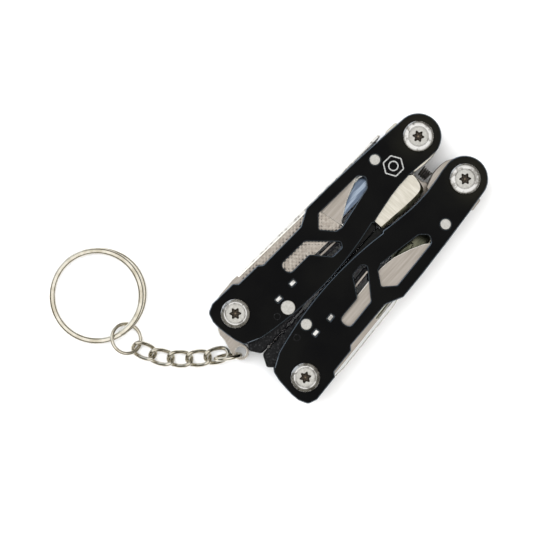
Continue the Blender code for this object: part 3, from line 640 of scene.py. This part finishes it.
def tools(looks):
    tan, cut, blue, olive = looks["tan"], looks["cut"], looks["blue"], looks["olive"]

    def file_extras(solid):
        file_teeth(solid)
        file_tip(solid)

    corners = [(-1.0, 6.2, 1.2), (2.5, 6.5, 0.5), (5.5, 6.85, 0.5), (11.5, 6.4, 1.0), (31.0, 6.3, 0)]
    corners += [(46.6, 6.0, 1.5), (48.4, 4.6, 0.8), (45.8, 2.9, 1.5), (41.0, 0.9, 1.5), (36.2, -2.1, 1.5)]
    corners += [(31.0, -3.4, 1.0), (10.5, -3.4, 2.0), (3.0, -5.0, 2.0)]
    flat_tool("file", "a", corners, 8.5, 10.1, [tan, cut, looks["knurl"]], 0.12, file_extras)
    corners = [(3.0, 4.6, 2.0), (9.0, 3.2, 2.0), (40.0, 2.9, 1.0), (47.5, 3.1, 0.3), (49.6, 2.4, 0.1)]
    corners += [(49.6, -1.2, 0.1), (47.5, -1.9, 0.3), (40.0, -1.6, 1.0), (9.0, -2.6, 2.0), (3.0, -5.0, 2.0)]
    # the flat screwdriver carries the blue painted reflection
    flat_tool("flat_screwdriver", "a", corners, 6.4, 8.0, [blue, cut], 0.3)
    corners = [(3.0, 5.2, 2.0), (9.0, 6.8, 2.0), (32.0, 7.15, 0), (52.0, 7.35, 0), (57.2, 7.8, 0.4)]
    corners += [(58.9, 7.7, 0.4), (59.0, 6.9, 0.2), (54.5, 5.9, 1.0), (50.0, 4.6, 1.5), (46.0, 1.6, 1.5)]
    for index in range(9):
        x = 43.0 - 3.2 * index
        corners += [(x, -0.9, 0.1), (x - 1.6, -0.2, 0.5)]
    corners += [(13.0, -1.6, 0.5), (9.5, -1.6, 1.0), (3.0, -5.0, 2.0)]
    flat_tool("serrated_blade", "a", corners, 4.3, 5.9, [looks["bright"], cut], 0.2)
    corners = [(3.5, 5.9, 1.0), (8.0, 6.4, 1.0), (28.5, 6.4, 1.0), (31.5, 5.9, 1.0), (43.5, 5.9, 1.5)]
    corners += [(48.6, 4.7, 0.2), (46.0, 2.3, 1.5), (43.0, 0.5, 1.5), (38.5, -1.6, 2.0), (34.5, -2.5, 1.5)]
    corners += [(29.5, -2.8, 1.5), (11.5, -2.8, 0.4), (9.8, -2.2, 0.6), (7.6, -2.6, 0.6), (3.0, -5.0, 2.0)]
    nick = rounded([(23.0, 4.6, 0.2), (30.0, 4.6, 0.2), (29.4, 5.2, 0.2), (23.6, 5.2, 0.2)])
    flat_tool("knife_blade", "b", corners, 8.5, 10.3, [tan, cut], 0.2, holes=[nick])
    corners = [(3.0, 4.6, 2.0), (8.5, 1.6, 2.0), (41.0, 1.6, 0.3), (44.5, 0.5, 0.2), (44.5, -0.5, 0.2)]
    corners += [(41.0, -1.6, 0.3), (8.5, -1.8, 2.0), (3.0, -5.0, 2.0)]
    flat_tool("cross_screwdriver", "b", corners, 4.9, 7.3, [olive, olive], 0.45)
    corners = [(3.0, 4.8, 2.0), (9.0, 5.4, 2.0), (24.0, 5.4, 1.0), (36.0, 5.2, 1.0), (44.0, 3.9, 0.5)]
    corners += [(49.6, 3.3, 0.3), (49.6, -0.4, 0.3), (43.5, -1.4, 0.8), (41.6, -3.1, 0.8), (38.6, -2.6, 0.8)]
    corners += [(37.6, -0.2, 1.0), (32.0, 0.9, 1.5), (27.0, -0.4, 1.2), (25.5, -3.0, 1.0), (10.5, -3.0, 2.0)]
    corners += [(3.0, -5.0, 2.0)]
    flat_tool("bottle_opener", "b", corners, 2.5, 4.3, [olive, tan], 0.2)


def lanyard_lug(looks):
    eye_at = (-6.1, -8.2)
    outline = arc((0, 0), 5.0, 65, -60, 30) + [(-1.0, -6.2), (-3.4, -7.0)]
    outline += arc(eye_at, 2.2, 30, -180, 36)
    outline += [(-8.0, -6.2), (-7.1, -3.2), (-7.0, -1.2), (-6.4, 0.1), (-4.4, 1.9), (-2.5, 4.0), (-0.5, 4.9)]
    solid = Solid()
    solid.slab([outline, circle((0, 0), PIVOT_HOLE), circle(eye_at, 1.4)], 2.5, 3.7, 0.15, 3, 0, 1)
    shades = [looks["tan"], looks["cut"]]
    place = HANDLE_FRAMES["a"]
    solid.piece("lanyard_lug_steel", shades, "lanyard_lug", ["lanyard_lug"], place)


def washers(looks):
    spans = {"a": ((3.8, 4.2), (6.0, 6.3), (8.1, 8.4)), "b": ((4.4, 4.8), (7.4, 8.4))}
    for key, layers in spans.items():
        for number, (low, high) in enumerate(layers, 1):
            solid = Solid()
            solid.slab([circle((0, 0), 4.0), circle((0, 0), PIVOT_HOLE)], low, high, 0.08, 2)
            node = f"washer_{key}{number}"
            shades, place = [looks["bright"]], HANDLE_FRAMES[key]
            solid.piece(f"{node}_ring", shades, f"handle_{key}", [node], place)


# --- pliers -----------------------------------------------------------------------------------------


def jaws(looks):
    """Both jaws: a bevelled joint boss, the tang that holds the handle, and the tapered nose."""
    near = [(-23.69, 1.8), (-23.7, -1.1), (-21.5, -1.75), (-19.5, -2.15), (-17.5, -2.55), (-15.5, -2.8)]
    near += [(-13.5, -2.93), (-12.0, -2.95), (-10.6, -2.8), (-9.4, -2.5)]
    far = [(-12.5, 6.2), (-18.0, 6.5), (-22.45, 4.59), (-23.2, 3.25)]
    boss = near + [(-8.75, -1.8), (-8.3, -0.4), (-7.95, 1.3), (-7.9, 2.6)] + far
    lower_boss = near + [(-8.1, -1.95), (-7.6, -0.6), (-7.5, 0.6), (-7.0, 1.2), (-7.0, 2.6)] + far
    flat = [(-23.6, 1.75), (-23.6, -0.5), (-21.5, -0.75), (-19.5, -0.98), (-17.5, -1.22), (-15.5, -1.45)]
    flat += [(-13.5, -1.62), (-12.0, -1.7), (-10.6, -1.66), (-9.7, -1.5), (-9.1, -1.0), (-8.6, -0.2)]
    flat += [(-8.25, 1.3), (-8.2, 2.5), (-12.6, 6.1), (-17.9, 6.4), (-22.35, 4.5), (-23.1, 3.2)]
    edges = {
        "a": [(-4.0, 1.95), (-1.0, 1.9), (1.2, 2.2)],
        "b": [(-4.3, 1.12), (-1.3, 1.1), (0.5, 1.5), (2.0, 2.4)],
    }
    for key, side in SIDES.items():
        solid = Solid()
        top = key == "a"
        low, high = (JAW_SPLIT + 0.1, JAW_HIGH) if top else (JAW_LOW, JAW_SPLIT - 0.1)
        if top:
            ledge = [(x + (u - x) * 0.14, y + (v - y) * 0.14) for (x, y), (u, v) in zip(boss, flat)]
            rings = [[(x, y, low) for x, y in boss], [(x, y, high - 1.0) for x, y in boss]]
            rings += [[(x, y, high - 0.96) for x, y in ledge], [(x, y, high) for x, y in flat]]
            # the band from the ledge up to the flat top takes the darker painted-shade bevel look
            solid.rings(rings, [0, 3, 1])
            solid.slots[-1] = 0
        else:
            solid.slab([mirrored(lower_boss, side)], low, high, 0.25, 3)
        eye = arc((0, HALF_GAP), 5.6, -62, 60, 24)
        tang = arc(JAW_RIVET_AT, 8.95 if top else 8.1, 42, 16.5, 8) + edges[key] + eye
        tang += rounded([(-0.4, 14.85, 0.6), (-4.6, 15.2, 0.6), (-5.6, 12.6, 1.0), (-7.4, 9.6, 1.0)])
        loops = [mirrored(tang, side), circle((0, HALF_GAP * side), PIVOT_HOLE)]
        solid.slab(loops, JAW_LOW, JAW_HIGH, 0.2, 3)
        nose = [(-24.4, -0.06), (-24.4, -3.3), (-34.0, -3.0), (-44.5, -1.75), (-46.6, -1.2), (-46.9, -0.15)]
        # painted shade: the nose and, below, its root use the near-black nose look
        solid.slab([mirrored(nose, side)], 4.2, 8.6, 0.3, 3, 2, 2)
        root = [(-20.5, -0.6), (-26.0, -0.6), (-26.0, -3.2), (-22.4, -3.0), (-21.0, -1.6)]
        span = (low + 0.2, 8.4) if top else (4.4, high - 0.2)
        solid.slab([mirrored(root, side)], *span, 0.1, 2, 2, 2)
        node = f"jaw_{key}"
        shades = [looks["jaw" if top else "tan"], looks["bevel"], looks["nose"], looks["cut"]]
        solid.piece(f"{node}_steel", shades, "pliers" if top else "jaw_b", [node])


def jaw_rivet(looks):
    """The rivet inside the joint, which doesn't show on either face."""
    radius, low, high = 2.2, JAW_LOW + 0.4, JAW_HIGH - 1.3
    profile = [(0.2, low), (radius - 0.1, low), (radius, low + 0.1)]
    profile += [(radius, high - 0.1), (radius - 0.1, high), (0.2, high)]
    solid = Solid()
    solid.rings([polar_ring(r, z, 64) for r, z in profile], [0] * len(profile))
    place = MID_FRAME @ Matrix.Translation((*JAW_RIVET_AT, 0))
    solid.piece("jaw_rivet_pin", [looks["jaw"]], "pliers", ["jaw_rivet"], place)


def jaw_spring(looks):
    """A short compression spring between the two tangs, drawn once in its rest shape and left fixed."""
    low, high, turns, coil = -0.8, 1.6, 4, 1.25
    x, z = JAW_SPRING_AT
    steps = turns * 20
    route = []
    for step in range(steps + 1):
        angle = 2 * math.pi * turns * step / steps
        y = low + (high - low) * step / steps
        route.append((x + coil * math.cos(angle), y, z + coil * math.sin(angle)))
    solid = Solid()
    solid.tube(route, 0.22, 8, 0, False)
    spring = solid.piece("jaw_spring_coil", [looks["spring"]], None, ["jaw_spring"])
    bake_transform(spring)


# --- key chain --------------------------------------------------------------------------------------


def turned(degrees):
    x, y, z = (math.radians(angle) for angle in degrees)
    return Matrix.Rotation(z, 4, "Z") @ Matrix.Rotation(y, 4, "Y") @ Matrix.Rotation(x, 4, "X")


def wire_piece(name, route, place, looks, wire=WIRE):
    solid = Solid()
    solid.tube(route, wire / 2)
    solid.piece(f"{name}_wire", [looks["nickel"]], name, [name], place)


def ring_route(radius):
    return [(x, y, 0) for x, y in circle((0, 0), radius, 72)]


def key_chain(looks):
    place = MID_FRAME @ Matrix.Translation((-75.26, 6.0, 3.83)) @ turned((-83.2, 19.8, -36.3))
    wire_piece("lug_ring", ring_route(3.3), place, looks)
    half_length, half_width = 3.025, 1.825
    route = []
    for step in range(72):
        t = 2 * math.pi * step / 72
        along, across = (math.copysign(abs(part) ** 0.85, part) for part in (math.cos(t), math.sin(t)))
        route.append((half_length * along, half_width * across, -half_width / 2 * math.sin(2 * t)))
    for number, (x, y, turn) in enumerate(LINKS, 1):
        place = MID_FRAME @ Matrix.Translation((x, y, LINK_HEIGHT)) @ turned((0, 0, turn))
        wire_piece(f"chain_link_{number}", route, place, looks)
    place = MID_FRAME @ Matrix.Translation((-89.74, 28.8, 2.19)) @ turned((9.9, 22.7, 9.3))
    wire_piece("key_ring_link", ring_route(3.95), place, looks, KEY_RING_WIRE)


def split_ring(looks):
    """A flat wire wound one and a half times round, that steps up from the first turn to the second."""
    start, length, ramp_from, ramp_to, swell_to = 65.5, 532, 285, 350, 180
    half_w, half_t = 0.75, 0.525
    section = [(half_w * x, half_t * y) for x, y in circle((0, 0), 1, 20)]
    rings = []
    for travel in range(0, length + 1, 3):
        share = min(max((travel - ramp_from) / (ramp_to - ramp_from), 0), 1)
        z = half_t + 1.15 * share * share * (3 - 2 * share)
        middle = 11.75 + 0.7 * math.sin(math.pi * min(travel, swell_to) / swell_to) ** 2
        turn = math.radians(start - travel)
        cos, sin = math.cos(turn), math.sin(turn)
        rings.append([((middle + r) * cos, (middle + r) * sin, z + up) for r, up in section])
    solid = Solid()
    solid.rings(rings, [0] * len(rings))
    place = MID_FRAME @ Matrix.Translation((-86.7, 42.0, 0.87)) @ Matrix.Rotation(math.radians(-4.3), 4, "X")
    solid.piece("split_ring_wire", [looks["nickel"]], "split_ring", ["split_ring"], place)


# --- marks ------------------------------------------------------------------------------------------


def band(outline, width):
    return [outline, inset(outline if signed_area(outline) > 0 else outline[::-1], width)]


def etched_mark(looks):
    """A plain hex nut outline, etched on the front of handle a."""
    centre, line = (55.7, -1.0), 0.32
    hexagon = [(*point, 0.5) for point in circle((0, 0), 2.9, 6)]
    solid = Solid()
    for outline in (rounded(hexagon), circle((0, 0), 1.35, 36)):
        solid.slab(band(shifted(outline, *centre), line), FRONT_HIGH - 0.01, FRONT_HIGH + 0.012, 0.004, 1)
    solid.piece("etched_mark", [looks["etched"]], "handle_a", place=HANDLE_FRAMES["a"])


def dimples(looks):
    for key, at in (("a", (7.2, -8.05)), ("b", (6.6, -8.1))):
        solid = Solid()
        loops = band(circle(at, 0.95, 36), 0.28)
        loops = [mirrored(loop, SIDES[key]) for loop in loops]
        solid.slab(loops, FRONT_HIGH - 0.02, FRONT_HIGH + 0.05, 0.03, 2)
        shades, place = [looks["lever"]], HANDLE_FRAMES[key]
        solid.piece(f"dimple_{key}", shades, f"handle_{key}", place=place)


# --- studio -----------------------------------------------------------------------------------------


def studio(looks):
    mesh = bpy.data.meshes.new("floor")
    mesh.from_pydata([(-2, -2, 0), (2, -2, 0), (2, 2, 0), (-2, 2, 0)], [], [(0, 1, 2, 3)])
    mesh.materials.append(looks["floor"])
    floor = bpy.data.objects.new("floor", mesh)
    bpy.context.scene.collection.objects.link(floor)
    lamps = [
        # name, place, size, power, colour
        ("window_light", (-0.1, 0.4, 0.85), 0.8, 7.5, (0.97, 0.985, 1.0)),
        ("fill_light", (0.25, -0.4, 0.8), 0.9, 4.0, (1.0, 0.995, 0.98)),
    ]
    for name, at, size, power, colour in lamps:
        light = bpy.data.lights.new(name, "AREA")
        light.size = size
        light.energy = power
        light.color = colour
        lamp = bpy.data.objects.new(name, light)
        lamp.location = at
        lamp.rotation_euler = (-Vector(at)).to_track_quat("-Z", "Y").to_euler()
        lamp.visible_glossy = False
        bpy.context.scene.collection.objects.link(lamp)
    surroundings()


def surroundings():
    """A room with a bright ceiling, dim walls and a tall pale window on the +Y side."""
    world = bpy.data.worlds.new("studio")
    bpy.context.scene.world = world
    world.use_nodes = True
    tree = world.node_tree
    place = tree.nodes.new("ShaderNodeTexCoord")
    axes = tree.nodes.new("ShaderNodeSeparateXYZ")
    ceiling = tree.nodes.new("ShaderNodeValToRGB")
    window = tree.nodes.new("ShaderNodeValToRGB")
    both = tree.nodes.new("ShaderNodeMix")
    both.data_type, both.blend_type = "RGBA", "ADD"
    both.inputs["Factor"].default_value = 1.0
    tree.links.new(place.outputs["Generated"], axes.inputs[0])
    tree.links.new(axes.outputs["Z"], ceiling.inputs["Fac"])
    tree.links.new(axes.outputs["Y"], window.inputs["Fac"])
    tree.links.new(ceiling.outputs["Color"], both.inputs["A"])
    tree.links.new(window.outputs["Color"], both.inputs["B"])
    tree.links.new(both.outputs["Result"], tree.nodes["Background"].inputs["Color"])
    stops = ceiling.color_ramp
    stops.elements[0].position, stops.elements[0].color = 0.0, (0.10, 0.09, 0.07, 1)
    stops.elements[1].position, stops.elements[1].color = 1.0, (1.5, 1.5, 1.5, 1)
    middle_stops = ((0.5, (0.10, 0.09, 0.065)), (0.66, (0.25, 0.24, 0.21)), (0.8, (1.45,) * 3))
    for position, colour in middle_stops:
        stops.elements.new(position).color = (*colour, 1)
    stops = window.color_ramp
    stops.elements[0].position, stops.elements[0].color = 0.7, (0, 0, 0, 1)
    stops.elements[1].position, stops.elements[1].color = 0.82, (0.85, 0.95, 1.1, 1)


def camera():
    """Straight above the tool, as far off as a hand would hold it."""
    centre = MID_FRAME @ Vector((-51.12, 14.44, 0))
    up = Vector((0.7388, 0.6739, 0)).normalized()
    right = Vector((up.y, -up.x, 0))
    data = bpy.data.cameras.new("camera")
    height, plane, field = 700.0, 10.0, 137.71
    data.sensor_width = 36
    data.lens = 36 * (height - plane) / field
    data.clip_start, data.clip_end = 0.05, 5
    view = bpy.data.objects.new("camera", data)
    turn = Matrix((right, up, Vector((0, 0, 1)))).transposed().to_4x4()
    view.matrix_world = Matrix.Translation(Vector((centre.x, centre.y, height)) * MM) @ turn
    bpy.context.scene.collection.objects.link(view)
    bpy.context.scene.camera = view
    bpy.context.scene.view_settings.view_transform = "Standard"


def build():
    looks = make_looks()
    ends = {"tool": (0, 0), "plier": (HANDLE_LENGTH, 0)}
    turns = {"tool_a": 0.3, "plier_a": 0.12, "tool_b": 0.4, "plier_b": 0.2}
    for key, side in SIDES.items():
        handle_plates(key, looks)
        for end, at in ends.items():
            screw_head(f"{end}_screw_{key}", key, at, turns[f"{end}_{key}"], HEAD_RADIUS[end], looks)
            post(f"{end}_post_{key}", key, at, HEAD_RADIUS[end], looks)
        body = f"handle_{key}"
        rivet(f"spacer_rivet_{key}", key, (SPACER_AT[0], side * SPACER_AT[1]), 1.42, 1.38, body, looks)
        radius, shank = {"a": (1.9, 1.6), "b": (1.48, 1.4)}[key]
        rivet(f"lock_pin_{key}", key, (LOCK_PIN_AT[0], side * LOCK_PIN_AT[1]), radius, shank, body, looks)
        lock_lever(key, looks)
        lock_spring(key, looks)
    tools(looks)
    lanyard_lug(looks)
    washers(looks)
    jaws(looks)
    jaw_rivet(looks)
    jaw_spring(looks)
    key_chain(looks)
    split_ring(looks)
    etched_mark(looks)
    dimples(looks)
    studio(looks)
    camera()


build()
